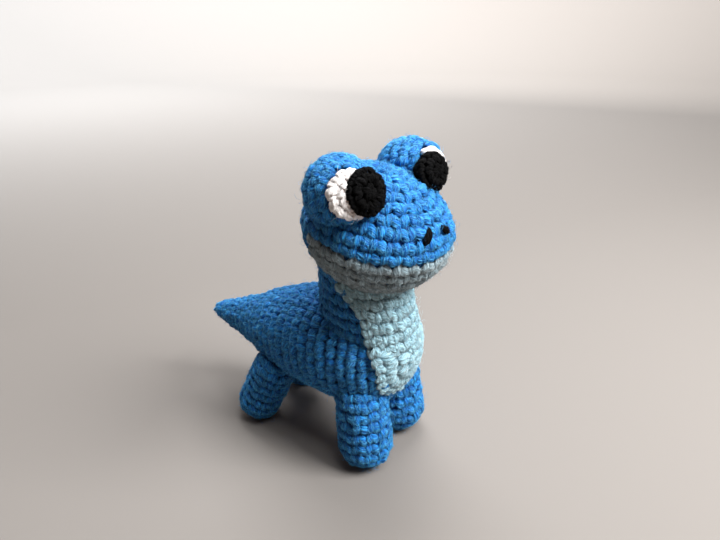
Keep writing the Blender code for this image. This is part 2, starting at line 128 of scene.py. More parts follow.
# share of painted highlight in the stray fibres' colour
HAIR_PAINTED_HIGHLIGHT = 0.4
STRANDS = 19               # fibres coloured with painted highlight that lie along each yarn leg
STRAND_RADIUS = 0.047
FIBRE_RINGS = 5            # points along each fine fibre
BACKING = 1.3              # depth of the backing shell under the stitches' crests
SOFT, FIRM = 0.75, 0.8     # how tightly the covers are filled
GAZE = 6.5                 # how far both eyes look to the toy's right
LID = 0.9                  # how far the first round of a mound stands out round the eye


# --- Placing ---

def frame_at(point, turn=(0, 0, 0), parent=None):
    """A frame in the row's millimetres, turned in degrees."""
    angles = Euler([math.radians(t) for t in turn])
    place = Matrix.Translation(point) @ angles.to_matrix().to_4x4()
    return parent @ place if parent is not None else place


def design(x, y, z):
    """A point of the CAD design's coordinates in the row's frame."""
    return Vector((x - BOX_MIDDLE[0], y - BOX_MIDDLE[1], z))


def mirrored(point, sign):
    return (point[0] * sign, point[1], point[2])


BODY = frame_at(design(*BODY_ORIGIN), (-90 - BODY_SLOPE, 0, 0))
NECK = frame_at(design(*NECK_AXIS, NOD_HEIGHT), (0, 0, NECK_TURNED))


def on_head(point, sign=1):
    """A point given from the neck's axis, on one side of the head, from the nod pivot."""
    return (point[0] * sign, point[1], point[2] - NOD_HEIGHT)


SKULL = frame_at(on_head(HEAD_CENTRE), (HEAD_TILT, 0, 0), NECK)


def eye_frame(centre, aim, sign):
    """A frame whose Z looks out of the eye, turned about the eye's mound by the gaze."""
    middle = Matrix.Translation(on_head(MOUND_CENTRE, sign))
    gaze = NECK @ middle @ Matrix.Rotation(math.radians(-GAZE), 4, "Z") @ middle.inverted()
    return frame_at(on_head(centre, sign), (90 - aim[1], 0, aim[0] * sign), gaze)


def to_local(matrix, points):
    back = np.array(matrix.inverted())
    return points @ back[:3, :3].T + back[:3, 3]


def to_world(matrix, points):
    m = np.array(matrix)
    return points @ m[:3, :3].T + m[:3, 3]


def run_of(path):
    """How far along a path each of its points lies."""
    return np.concatenate([[0], np.cumsum(np.linalg.norm(np.diff(path, axis=0), axis=1))])


def unit(vectors):
    return vectors / np.maximum(np.linalg.norm(vectors, axis=-1, keepdims=True), 1e-9)


# --- Forms ---

def dome(radius, rise, base, steps=24):
    """Outline points from an equator to the pole above (or below) it."""
    angles = np.linspace(0, math.pi / 2, steps)
    return [(radius * math.cos(a), base + rise * math.sin(a)) for a in angles]


class Form:
    """A surface of rings about Z, given by its outline (radius, height) from its first
    row to its last, in a frame, and optionally shaped afterwards."""

    def __init__(self, matrix, outline, scale=(1.0, 1.0), shape=None, soften=0):
        line = np.array(outline, float)
        run = run_of(line)
        self.arc = np.linspace(0, run[-1], 400)
        self.line = np.stack([np.interp(self.arc, run, line[:, k]) for k in (0, 1)], 1)
        for _ in range(soften):
            self.line[1:-1] = (self.line[:-2] + 2 * self.line[1:-1] + self.line[2:]) / 4
        self.length = run[-1]
        self.matrix = matrix
        self.scale = scale
        self.shape = shape

    def local(self, angle, along):
        along = np.clip(along, 0, self.length)
        radius = np.interp(along, self.arc, self.line[:, 0])
        height = np.interp(along, self.arc, self.line[:, 1])
        points = np.stack([radius * np.cos(angle) * self.scale[0],
                           radius * np.sin(angle) * self.scale[1], height + 0 * angle], -1)
        return self.shape(points) if self.shape else points

    def at(self, angle, along):
        return to_world(self.matrix, self.local(angle, along))

    def normal(self, angle, along):
        along = np.clip(along, 0.35, self.length - 0.35)
        step = 0.3
        across = self.at(angle + 0.02, along) - self.at(angle - 0.02, along)
        up = self.at(angle, along + step) - self.at(angle, along - step)
        return unit(np.cross(across, up)) * self.facing()

    def facing(self):
        """1 where rows climb so that the cross product looks outward, else -1."""
        return 1.0 if self.line[-1, 1] > self.line[0, 1] else -1.0

    def ring(self, along):
        """Angles of points evenly spaced around a ring, and the ring's length."""
        angle = np.linspace(0, math.tau, 181)
        run = run_of(self.at(angle, np.full(angle.shape, along)))
        return run / max(run[-1], 1e-9), angle, run[-1]

    def height_at(self, height):
        """How far along the outline a height lies."""
        order = np.argsort(self.line[:, 1])
        return np.interp(height, self.line[order, 1], self.arc[order])

    def depth(self, points):
        """Roughly how far below the surface points lie; above 0 is inside."""
        local = to_local(self.matrix, points)
        radial = np.hypot(local[..., 0] / self.scale[0], local[..., 1] / self.scale[1])
        order = np.argsort(self.line[:, 1])
        heights, radii = self.line[order, 1], self.line[order, 0]
        return np.interp(local[..., 2], heights, radii, left=-9, right=-9) - radial


def skull_shape(points):
    """The head is narrower and drawn back towards its crown."""
    x, y, z = points[..., 0], points[..., 1], points[..., 2]
    rise = np.maximum(z / HEAD_RADII[2], 0) ** 2
    x = x * (1 - CROWN_NARROWING * rise)
    y = np.where(y < 0, y * (1 - BROW_SLOPE * rise), y)
    return np.stack([x, y, z], -1)


# --- Yarn ---

def tube_faces(rings, around):
    """Faces of a closed tube of rings, whose two end points come after the rings."""
    i, j = np.meshgrid(np.arange(rings - 1), np.arange(around), indexing="ij")
    here, nxt = i * around + j, i * around + (j + 1) % around
    quads = np.stack([here, nxt, nxt + around, here + around], -1).reshape(-1, 4)
    j = np.arange(around)
    k = (j + 1) % around
    end, last = rings * around, (rings - 1) * around
    caps = [np.stack([k, j, np.full(around, end)], -1),
            np.stack([last + j, last + k, np.full(around, end + 1)], -1)]
    return quads, np.concatenate(caps)


def repeated(faces, count, stride):
    """The same faces for each of a count of tubes."""
    offsets = (np.arange(count) * stride)[:, None, None]
    return (faces[None] + offsets).reshape(-1, faces.shape[-1])


class Yarn:
    """Collects the closed tubes and shells of one piece, with what its shader reads:
    strand (round and along the yarn) and tone (exposure, which sets painted shade where the
    yarn dives in; a random tone for each stitch; and a fibre's share of painted highlight)."""

    def __init__(self):
        self.parts = []
        self.hairs = []
        self.count = 0

    def add(self, points, quads, triangles, strand, tone):
        self.parts.append((points, quads + self.count, triangles + self.count, strand, tone))
        self.count += len(points)

    def tubes(self, centres, normals, wide, deep, exposure, twist=0.7, hairs=HAIRS):
        """Closed plied tubes; centres and normals are (tubes, rings, 3), wide and deep
        their half sizes (tubes, rings) and exposure how far each ring stands out."""
        count, rings, _ = centres.shape
        if not count:
            return
        run = unit(np.gradient(centres, axis=1))
        side = unit(np.cross(run, normals))
        up = np.cross(side, run)
        step = np.arange(LEG_AROUND) / LEG_AROUND * math.tau
        ply = 0.76 + 0.24 * np.abs(np.cos(PLIES / 2 * step)) ** 0.8
        start = RANDOM.uniform(0, math.tau, count)[:, None, None]
        turn = (np.linspace(0, 1, rings) * twist * math.tau)[None, :, None]
        angle = step[None, None, :] + start + turn
        grow = ply[None, None, :, None]
        points = centres[:, :, None] + grow * (
            wide[:, :, None, None] * np.cos(angle)[..., None] * side[:, :, None]
            + deep[:, :, None, None] * np.sin(angle)[..., None] * up[:, :, None])
        ends = np.stack([centres[:, 0] - run[:, 0] * wide[:, :1] * 0.6,
                         centres[:, -1] + run[:, -1] * wide[:, -1:] * 0.6], 1)
        body = points.reshape(count, rings * LEG_AROUND, 3)
        vertices = np.concatenate([body, ends], 1)
        stride = rings * LEG_AROUND + 2
        quads, triangles = [repeated(faces, count, stride)
                            for faces in tube_faces(rings, LEG_AROUND)]
        length = np.linalg.norm(np.diff(centres, axis=1), axis=-1).sum(1)
        along = np.linspace(0, 1, rings) * length[:, None] + RANDOM.uniform(0, 400, count)[:, None]
        strand = np.zeros((count, stride, 3))
        strand[:, :-2, 0] = np.tile(np.cos(step), rings)[None]
        strand[:, :-2, 1] = np.tile(np.sin(step), rings)[None]
        strand[:, :-2, 2] = np.repeat(along, LEG_AROUND, axis=1)
        strand[:, -2, 2], strand[:, -1, 2] = along[:, 0], along[:, -1]
        tone = np.zeros((count, stride, 3))
        # Painted shade: the exposure kept in tone darkens the colour where the yarn dives in, in
        # the grooves between plies and on the side of the tube that faces the fabric.
        lift = exposure[:, :, None] + 1.5 * (ply - 0.94)[None, None, :] + 0.12 * np.sin(angle)
        tone[:, :-2, 0] = np.clip(lift, 0, 1).reshape(count, -1)
        tone[:, -2, 0], tone[:, -1, 0] = exposure[:, 0], exposure[:, -1]
        tone[:, :, 1] = RANDOM.uniform(0, 1, count)[:, None]
        self.add(vertices.reshape(-1, 3), quads, triangles, strand.reshape(-1, 3),
                 tone.reshape(-1, 3))
        self.grow_hairs(points, centres, run, up, exposure, hairs)
        self.lay_strands(centres, side, up, wide, deep, exposure, hairs * STRANDS // HAIRS)

    def grow_hairs(self, points, centres, run, up, exposure, hairs):
        """Fine fibres that leave the yarn, arch over it and mostly return to it."""
        count, rings = centres.shape[:2]
        tube = np.repeat(np.arange(count), hairs)
        ring = RANDOM.integers(2, rings - 2, len(tube))
        spot = RANDOM.integers(0, LEG_AROUND, len(tube))
        root = points[tube, ring, spot]
        out = unit(root - centres[tube, ring])
        shown = (np.sum(out * up[tube, ring], -1) > 0.1) & (exposure[tube, ring] > 0.45)
        tube, ring, root, out = tube[shown], ring[shown], root[shown], out[shown]
        if not len(tube):
            return
        swing = RANDOM.normal(0, 0.7, len(tube))[:, None]
        forward = RANDOM.choice([-1.0, 1.0], len(tube))[:, None] * run[tube, ring]
        heading = forward * np.cos(swing) + np.cross(out, forward) * np.sin(swing)
        t = np.linspace(0, 1, FIBRE_RINGS)[None, :, None]
        length = RANDOM.uniform(1.2, 3.6, len(tube))[:, None, None]
        height = RANDOM.gamma(1.7, 0.27, len(tube))[:, None, None]
        curl = RANDOM.normal(0, 0.35, (len(tube), 1, 1))
        path = root[:, None] + heading[:, None] * length * t + out[:, None] * (
            height * np.sin(math.pi * t * 0.9) - 0.12 - 0.35 * t * t)
        path += np.cross(out, heading)[:, None] * curl * np.sin(math.pi * t)
        path[..., 2] = np.maximum(path[..., 2], 0.1)
        self.hairs.append((path, HAIR_RADIUS, HAIR_PAINTED_HIGHLIGHT))

    def lay_strands(self, centres, side, up, wide, deep, exposure, strands):
        """Fibres that lie on the yarn, roughly along it, and dip in at both ends; their colour
        takes the full share of painted highlight.
        """
        count, rings = centres.shape[:2]
        tube = np.repeat(np.arange(count), strands)
        first = RANDOM.uniform(0.5, rings - 5.5, len(tube))
        reach = RANDOM.uniform(1.8, 4.6, len(tube))
        angle = RANDOM.normal(math.pi / 2, 0.85, len(tube))
        drift = RANDOM.normal(0.45, 0.5, len(tube))
        t = np.linspace(0, 1, FIBRE_RINGS)
        place = np.clip(first[:, None] + reach[:, None] * t, 0, rings - 1.001)
        low = place.astype(int)

        def read(rows):
            """The rows' values at each place along the tubes."""
            part = (place - low).reshape(low.shape + (1,) * (rows.ndim - 2))
            return rows[tube[:, None], low] * (1 - part) + rows[tube[:, None], low + 1] * part

        turn = angle[:, None] + drift[:, None] * (t - 0.5) * 2
        arch = 0.84 + 0.22 * np.sin(math.pi * t) ** 0.6
        out = arch + RANDOM.gamma(1.2, 0.055, len(tube))[:, None]
        path = read(centres) + (read(wide) * np.cos(turn) * out)[..., None] * read(side)
        path += (read(deep) * np.sin(turn) * out)[..., None] * read(up)
        shown = exposure[tube, low[:, 2]] > 0.4
        self.hairs.append((path[shown], STRAND_RADIUS, 1.0))

    def shell(self, form, start, stop, inset, sides=48, step=2.0, lumps=0.0):
        """A closed shell that follows a form at a depth, between two places along it."""
        rows = max(int((stop - start) / step), 6)
        along = np.linspace(start, stop, rows + 1)
        along[0] = max(along[0], 0.05)
        along[-1] = min(along[-1], form.length - 0.05)
        angle = np.arange(sides) / sides * math.tau
        a, s = np.meshgrid(angle, along)
        points = form.at(a, s) - form.normal(a, s) * inset
        if lumps:
            wave = np.sin(3 * a + 0.5 * s) * np.sin(0.45 * s + 1.0)
            wave += 0.6 * np.sin(5 * a - 0.7 * s)
            points -= form.normal(a, s) * (lumps * (1 + wave))[..., None]
        self.closed(points, form.facing() > 0)

    def closed(self, points, outward):
        """Adds the closed surface over rings of points, turned inside out if its faces
        would not look outward."""
        quads, triangles = tube_faces(*points.shape[:2])
        if not outward:
            quads, triangles = quads[:, ::-1], triangles[:, ::-1]
        poles = np.stack([points[0].mean(0), points[-1].mean(0)])
        self.flat(np.concatenate([points.reshape(-1, 3), poles]), quads, triangles)

    def patch(self, corner, sides, rows, outer, inner):
        """A closed slab over part of a surface; corner(u, v) gives points and normals for
        u and v from 0 to 1."""
        u, v = np.meshgrid(np.linspace(0, 1, sides + 1), np.linspace(0, 1, rows + 1))
        points, normals = corner(u, v)
        top, under = points + normals * outer, points + normals * inner
        width = sides + 1
        i, j = np.meshgrid(np.arange(rows), np.arange(sides), indexing="ij")
        here = i * width + j
        quads = np.stack([here, here + 1, here + 1 + width, here + width], -1).reshape(-1, 4)
        size = (rows + 1) * width
        rim = np.concatenate([
            np.arange(sides), np.arange(rows) * width + sides,
            rows * width + np.arange(sides, 0, -1), np.arange(rows, 0, -1) * width])
        nxt = np.roll(rim, -1)
        walls = np.stack([rim + size, nxt + size, nxt, rim], -1)
        quads = np.concatenate([quads, quads[:, ::-1] + size, walls])
        vertices = np.concatenate([top.reshape(-1, 3), under.reshape(-1, 3)])
        self.flat(vertices, quads, np.zeros((0, 3), int))

    def flat(self, vertices, quads, triangles):
        """Adds backing fabric, whose strand is simply its place. Its low exposure gives it the
        yarn's depth colour: painted shade between the stitches.
        """
        tone = np.tile([0.3, 0.5, 0.0], (len(vertices), 1))
        self.add(vertices, quads, triangles, vertices, tone)

    def make(self, name, kind, bodies, node, fill=None, bend=None):
        """Writes the piece's mesh and its fuzz, ties them to CAD bodies and hides the CAD node they
        replace.
        """
        material, slot = kind
        piece = write_mesh(name, self.parts, material)
        tie(piece, bodies)
        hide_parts(node)
        if self.hairs:
            paths, radii, painted_highlight_share = zip(*self.hairs)
            sizes = [len(path) for path in paths]
            fibres = hair_tubes(np.concatenate(paths), np.repeat(radii, sizes),
                                np.repeat(painted_highlight_share, sizes))
            tie(write_mesh(name + "_fuzz", [fibres], material), bodies)


def stuff(name, node, form, start, stop, inset, sides, lumps, bodies, bend=None):
    """A part's loose filling: a lumpy shell well under its cover."""
    filling = Yarn()
    filling.shell(form, start, stop, inset, sides=sides, lumps=lumps)
    filling.make(name, FILLING, bodies, node, bend=bend)


def hair_tubes(paths, radii, painted_highlight_share):
    """Three-sided closed tubes along fine fibres, pointed at both ends."""
    count, rings, _ = paths.shape
    run = unit(np.gradient(paths, axis=1))
    side = unit(np.cross(run, [0.31, 0.52, 0.79]))
    up = np.cross(side, run)
    inner = slice(1, rings - 1)
    body = []
    for k in range(3):
        angle = k * math.tau / 3
        body.append(paths[:, inner] + radii[:, None, None] * (
            math.cos(angle) * side[:, inner] + math.sin(angle) * up[:, inner]))
    body = np.stack(body, 2).reshape(count, -1, 3)
    vertices = np.concatenate([body, paths[:, :1], paths[:, -1:]], 1)
    stride = vertices.shape[1]
    quads, triangles = [repeated(faces, count, stride) for faces in tube_faces(rings - 2, 3)]
    flat = vertices.reshape(-1, 3)
    tone = np.zeros_like(flat)
    # Fibres stand fully out, clear of the depth colour's painted shade, and take a random share of
    # painted highlight.
    tone[:, 0] = 0.95
    tone[:, 1] = np.repeat(RANDOM.uniform(0, 1, count), stride)
    tone[:, 2] = np.repeat(RANDOM.uniform(0.2, 1, count) * painted_highlight_share, stride)
    return flat, quads, triangles, flat, tone


def write_mesh(name, parts, material):
    """One mesh object, in metres, from parts with points, quads, triangles, strand and
    tone. What would reach below the ground is flattened on it."""
    points, quads, triangles, strand, tone = [np.concatenate(rows) for rows in zip(*parts)]
    vertices = points * MM
    vertices[:, 2] = np.maximum(vertices[:, 2], 0.0)
    mesh = bpy.data.meshes.new(name)
    mesh.vertices.add(len(vertices))
    mesh.vertices.foreach_set("co", vertices.ravel().astype(np.float32))
    corners = np.concatenate([quads.ravel(), triangles.ravel()])
    mesh.loops.add(len(corners))
    mesh.loops.foreach_set("vertex_index", corners.astype(np.int32))
    starts = np.concatenate([np.arange(len(quads)) * 4,
                             len(quads) * 4 + np.arange(len(triangles)) * 3])
    mesh.polygons.add(len(starts))
    mesh.polygons.foreach_set("loop_start", starts.astype(np.int32))
    for key, vectors in (("strand", strand), ("tone", tone)):
        attribute = mesh.attributes.new(key, "FLOAT_VECTOR", "POINT")
        attribute.data.foreach_set("vector", vectors.ravel().astype(np.float32))
    mesh.update(calc_edges=True)
    mesh.shade_smooth()
    mesh.materials.append(material)
    piece = bpy.data.objects.new(name, mesh)
    bpy.context.scene.collection.objects.link(piece)
    return piece


def tie(piece, bodies):
    """A piece rides on one body; a piece between two bodies stays in place, its transform baked
    into its mesh.
    """
    if len(bodies) == 2:
        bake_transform(piece)
    else:
        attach(piece, bodies[0])


# --- Crochet ---

def leg_curve(count, lean, plump=1.0, ridge=0.0):
    """The two legs of each V: x and y in stitch units, z and half sizes in millimetres.
    A ridge sinks the edges of the round."""
    t = np.linspace(0, 1, LEG_RINGS)
    x = 0.03 + 0.46 * t ** 1.05
    y = -0.14 + 1.02 * t ** 0.92
    swell = np.sin(math.pi * (0.06 + 0.88 * t))
    thick = (0.52 + 0.48 * swell ** 0.7) * plump
    sides = np.array([-1.0, 1.0])
    jitter = RANDOM.normal(0, 1, (4, count, 2, 1))
    spread = 1 + 0.09 * RANDOM.normal(0, 1, (count, 2, 1))
    dive = 1 - swell ** 0.8
    xs = sides[None, :, None] * x * spread + lean * y + 0.035 * jitter[0]
    ys = y + 0.05 * jitter[1] + 0 * xs
    zs = -0.82 * plump - 1.05 * dive + 0.14 * jitter[2]
    zs = zs - ridge * (2 * np.clip(ys, 0, 1) - 1) ** 2
    size = thick * (1 + 0.07 * jitter[3])
    exposure = np.clip(1.0 - 1.15 * dive, 0, 1) + 0 * xs
    return xs, ys, zs, size * LEG_WIDE, size * LEG_DEEP, exposure


def lay_legs(yarn, *rows, hairs=HAIRS):
    """Adds both legs of every stitch to the yarn, from what its tubes take."""
    yarn.tubes(*[row.reshape(-1, *row.shape[2:]) for row in rows], hairs=hairs)


def lay_stitches(yarn, form, start, stop, u, angle_at, width, lean=0.06, plump=1.0, lift=0.0,
                 ridge=0.0, narrow=1.0, hairs=HAIRS):
    """Stitches whose middles are at u, each a share of the round; angle_at(u) turns a
    share of the round into an angle."""
    xs, ys, zs, wide, deep, exposure = leg_curve(len(u), lean, plump, ridge)
    angle = angle_at(u[:, None, None] + xs * width)
    along = np.clip(start + ys * (stop - start), 0.05, form.length - 0.05)
    surface, normal = form.at(angle, along), form.normal(angle, along)
    points = surface + normal * (zs + lift)[..., None]
    lay_legs(yarn, points, normal, wide * narrow, deep, exposure, hairs=hairs)


def lay_row(yarn, form, start, stop, count, offset, keep=None, **options):
    """One round of stitches between two places along a form. keep(centres) says which
    stitches are made. On a small round their yarn is drawn narrower."""
    share, angles, around = form.ring((start + stop) / 2)
    narrow = min(max(1.2 * around / count / STITCH_WIDTH, 0.64), 1.0)
    middle = (np.arange(count) + offset) / count
    at_middle = np.interp(middle % 1, share, angles)
    if keep is not None:
        middle = middle[keep(form.at(at_middle, np.full(count, (start + stop) / 2)))]

    def angle_at(u):
        whole = np.floor(u)
        return np.interp(u - whole, share, angles) + whole * math.tau

    if len(middle):
        lay_stitches(yarn, form, start, stop, middle, angle_at, 1 / count, narrow=narrow,
                     **options)


def lay_strip(yarn, form, start, stop, first, last, width):
    """One straight row of stitches between two angles."""
    ends = form.at(np.linspace(first, last, 9), np.full(9, (start + stop) / 2))
    count = max(int(round(run_of(ends)[-1] / width)), 1)
    middle = (np.arange(count) + 0.5) / count

    def angle_at(u):
        return first + (last - first) * u

    lay_stitches(yarn, form, start, stop, middle, angle_at, 1 / count)


def lay_chain(yarn, path, normals, width=2.9, link=3.5, plump=0.72):
    """A chain of small V stitches along a path: the edge of a sewn patch."""
    run = run_of(path)
    count = max(int(round(run[-1] / link)), 1)
    xs, ys, zs, wide, deep, exposure = leg_curve(count, 0.0, plump)
    along = np.clip((np.arange(count)[:, None, None] + ys) * run[-1] / count, 0, run[-1])

    def read(rows):
        return np.stack([np.interp(along, run, rows[:, k]) for k in range(3)], -1)

    surface, normal = read(path), read(normals)
    across = np.cross(unit(read(np.gradient(path, axis=0))), normal)
    points = surface + across * (xs * width)[..., None] + normal * zs[..., None]
    lay_legs(yarn, points, normal, wide, deep, exposure)


def row_edges(start, stop, height=ROW_HEIGHT):
    """Where rows of about a height begin and end."""
    return np.linspace(start, stop, max(int(round(abs(stop - start) / height)), 1) + 1)


def lay_rounds(choose, form, edges, width=STITCH_WIDTH, **options):
    """Rounds between successive edges; choose(middle) gives the yarn and its keep test
    for each kind of stitch in the round whose middle lies there along the form."""
    offset, before = 0.3, 0
    for start, stop in zip(edges[:-1], edges[1:]):
        start, stop = min(start, stop), max(start, stop)
        middle = (start + stop) / 2
        count = max(int(round(form.ring(middle)[2] / width)), LEAST_STITCHES)
        if abs(count - before) == 1:
            count = before
        offset = (offset + 0.12) % 1 if count == before else RANDOM.uniform(0, 1)
        before = count
        for yarn, keep in choose(middle):
            lay_row(yarn, form, start, stop, count, offset, keep, **options)


def always(*choices):
    """The same yarns and keep tests for every round."""
    return lambda middle: choices


def outside(*forms, by):
    """Keeps stitches that are not deeper than a distance inside any of the forms."""
    return lambda centres: np.all([form.depth(centres) < by for form in forms], axis=0)


def both(*tests):
    return lambda centres: np.all([test(centres) for test in tests], axis=0)


# --- Materials ---

def yarn_material(name, painted_fibre_highlight, painted_streak_highlight, body, deep, roughness=0.65, sheen=0.4,
                  sheen_tint=(1, 1, 1), gloss=0.25, streaks=1.0, slot=None):
    """Plied yarn: painted highlights on streaks of fibre over the yarn's own colour, and painted
    shade, deeper in colour, where it dives in. The colours are a laid fibre's painted highlight,
    a streak's painted highlight, the yarn's own and the painted shade of its depths. Gives
    the material with the CAD's slot for it, which has its name unless another is given."""
    material = bpy.data.materials.new(name)
    material.use_nodes = True
    nodes, links = material.node_tree.nodes, material.node_tree.links

    def feed(node, inputs):
        """Links or sets a node's inputs."""
        for key, value in inputs.items():
            if isinstance(value, bpy.types.NodeSocket):
                links.new(value, node.inputs[key])
            else:
                node.inputs[key].default_value = value

    def outputs_of(kind, inputs, **settings):
        node = nodes.new("ShaderNode" + kind)
        for key, value in settings.items():
            setattr(node, key, value)
        feed(node, inputs)
        return node.outputs

    def noise(stretch, detail):
        place = outputs_of("VectorMath", {0: strand, 1: stretch}, operation="MULTIPLY")[0]
        return outputs_of("TexNoise", {"Vector": place, "Scale": 1.0, "Detail": detail})["Fac"]

    def mapped(value, low, high, to_low, to_high):
        return outputs_of("MapRange", {"Value": value, "From Min": low, "From Max": high,
                                       "To Min": to_low, "To Max": to_high})["Result"]

    def multiply(a, b):
        return outputs_of("Math", {0: a, 1: b}, operation="MULTIPLY")[0]

    def mix(factor, a, b):
        colours = [(*c, 1) if isinstance(c, tuple) else c for c in (a, b)]
        return outputs_of("Mix", {"Factor": factor, "A": colours[0], "B": colours[1]},
                          data_type="RGBA")["Result"]

    strand, tone = [outputs_of("Attribute", {}, attribute_name=key)["Vector"]
                    for key in ("strand", "tone")]
    exposure, random_tone, painted_highlight_share = outputs_of("SeparateXYZ", {0: tone})
    fibres = noise((3.6, 3.6, 0.5), 2.0)
    wisps = noise((1.3, 1.3, 0.3), 1.0)
    # Painted shade: the colour falls towards the depth colour where the yarn dives in.
    exposed = mapped(exposure, 0.1, 0.9, 0.0, 1.0)
    colour = mix(exposed, deep, body)
    # Painted highlights: light streaks along the fibres where the yarn stands out, and on the laid
    # fibres.
    streak = multiply(mapped(fibres, 0.5, 0.66, 0.0, 0.7), exposed)
    colour = mix(streak, colour, painted_streak_highlight)
    colour = mix(mapped(painted_highlight_share, 0, 1, 0.0, 0.9), colour, painted_fibre_highlight)
    # Painted shade between the fibres, times an uneven tone along the yarn and a random tone for
    # each stitch; streaks scales the first two.
    shade = multiply(mapped(fibres, 0.32, 0.5, 1 - 0.5 * streaks, 1.0),
                     mapped(wisps, 0.3, 0.7, 1 - 0.28 * streaks, 1 + 0.14 * streaks))
    shade = multiply(shade, mapped(random_tone, 0, 1, 0.9, 1.08))
    feed(nodes["Principled BSDF"], {
        "Base Color": outputs_of("VectorMath", {0: colour, "Scale": shade}, operation="SCALE")[0],
        "Roughness": mapped(fibres, 0.3, 0.7, roughness + 0.1, roughness - 0.15),
        "Normal": outputs_of("Bump", {"Strength": 0.8, "Distance": 0.0005,
                                      "Height": fibres})["Normal"],
        "Sheen Weight": sheen,
        "Sheen Roughness": 0.45,
        "Sheen Tint": (*sheen_tint, 1),
        "Specular IOR Level": gloss,
    })
    return material, slot or name


# Each yarn's colours: a laid fibre's painted highlight, a streak's painted highlight, the yarn's
# own colour and the painted shade of its depths.
BLUE = yarn_material(
    "blue_yarn", (0.17, 0.68, 1.0), (0.03, 0.46, 0.95), (0.002, 0.13, 0.50),
    (0.0006, 0.025, 0.14), sheen_tint=(0.2, 0.65, 1.0))
PALE = yarn_material(
    "pale_blue_yarn", (0.66, 0.92, 1.0), (0.56, 0.87, 0.98), (0.33, 0.59, 0.71),
    (0.11, 0.20, 0.26))
# Painted shade: a darker, greyer copy of the pale yarn, for the jaw that lies in shade under the
# head.
JAW_PAINTED_SHADE = yarn_material(
    "pale_blue_yarn_jaw_painted_shade", (0.56, 0.70, 0.76), (0.42, 0.57, 0.64), (0.22, 0.31, 0.36),
    (0.08, 0.11, 0.13), slot="pale_blue_yarn")
WHITE = yarn_material(
    "white_yarn", (0.97, 0.96, 0.97), (0.97, 0.96, 0.97), (0.92, 0.90, 0.90),
    (0.78, 0.72, 0.70), streaks=0.2)
BLACK = yarn_material(
    "black_yarn", (0.008, 0.008, 0.009), (0.004, 0.004, 0.005), (0.001, 0.001, 0.0012),
    (0.0004, 0.0004, 0.0004), 0.85, sheen=0.0, gloss=0.08)
FILLING = yarn_material(
    "fibre_filling", (0.9, 0.9, 0.88), (0.9, 0.9, 0.88), (0.85, 0.85, 0.83),
    (0.75, 0.75, 0.73))


# --- The toy's forms ---

CHEST_POLE, BELLY_AT, TAIL_START = -19.5, 10.0, 41.0    # along the body's axis
BACK_RISE, CHEST_DRAW = 2.1, 0.15
CHEST_RADIUS = 19.3
BODY_OUTLINE = [
    (CHEST_RADIUS * math.cos(a), CHEST_POLE * math.sin(a))
    for a in np.linspace(math.pi / 2, 0, 30)]
BODY_OUTLINE += [
    (20.2, 10.0), (19.7, 19.0), (18.5, 28.0), (16.6, 36.0), (14.6, 42.0), (12.4, 47.0),
    (10.2, 53.0), (7.9, 60.5), (5.5, 68.5), (4.0, 74.5)]
BODY_OUTLINE += dome(4.0, 3.6, 74.7, 10)


def fade(value, low, high):
    """0 below the low value, 1 above the high one, smooth between."""
    t = np.clip((value - low) / (high - low), 0, 1)
    return t * t * (3 - 2 * t)


def torso_shape(points):
    """The back and tail ride a little high, and the chest draws in below its patch."""
    x, y, z = points[..., 0], points[..., 1], points[..., 2]
    z_drawn = np.where(z < 0, z * (1 - CHEST_DRAW * fade(y, -3, 12)), z)
    return np.stack([x, y - BACK_RISE * fade(z, -6, 26), z_drawn], -1)


TORSO = Form(BODY, BODY_OUTLINE, shape=torso_shape, soften=40)


def neck_shape(points):
    """The neck's front draws back under the jaw."""
    x, y, z = points[..., 0], points[..., 1], points[..., 2]
    front = np.interp(z, [-9.0, -5.0, 0.0, 8.0], [1.0, 0.955, 0.88, 0.74])
    return np.stack([x, np.where(y < 0, y * front, y), z], -1)


neck_outline = [(18.0, -20.0), (18.0, 3.0)] + dome(18.0, 15.0, 3.0)
NECK_FORM = Form(NECK, neck_outline, scale=(NECK_HALF[0] / NECK_HALF[1], 1.0),
                 shape=neck_shape)

HEAD_MEAN = 24.2
skull_outline = dome(HEAD_MEAN, -HEAD_RADII[2], 0)[::-1] + dome(HEAD_MEAN, HEAD_RADII[2], 0)[1:]
HEAD_FORM = Form(SKULL, skull_outline, shape=skull_shape,
                 scale=(HEAD_RADII[0] / HEAD_MEAN, HEAD_RADII[1] / HEAD_MEAN))

# Spans between the body and the neck, and between the neck and the head, for the covers that reach
# across two bodies.
TURN_SPAN = (design(*NECK_AXIS, 49.0), design(*NECK_AXIS, 60.0))
NOD_SPAN = (design(*NECK_AXIS, 66.0), design(*NECK_AXIS, 78.0))


def leg_form(where, sign):
    foot, foot_radius, hip, hip_radius = LEGS[where]
    low, high = design(*mirrored(foot, sign)), design(*mirrored(hip, sign))
    along = high - low
    matrix = Matrix.Translation(high) @ along.to_track_quat("Z", "Y").to_matrix().to_4x4()
    length = along.length
    outline = dome(foot_radius, -foot_radius, -length)[::-1] + [(hip_radius, 0.0)]
    outline += dome(hip_radius, hip_radius, 0)[1:]

    def flatten(points):
        """The sole is pressed flatter where it meets the ground."""
        world = to_world(matrix, points)
        world[..., 2] += np.maximum(SOLE_HEIGHT - world[..., 2], 0) * SOLE_GIVE
        return to_local(matrix, world)

    return Form(matrix, outline, shape=flatten, soften=6)


LEG_FORMS = {(where, side): leg_form(where, sign)
             for where in LEGS for side, sign in SIDE_SIGNS.items()}


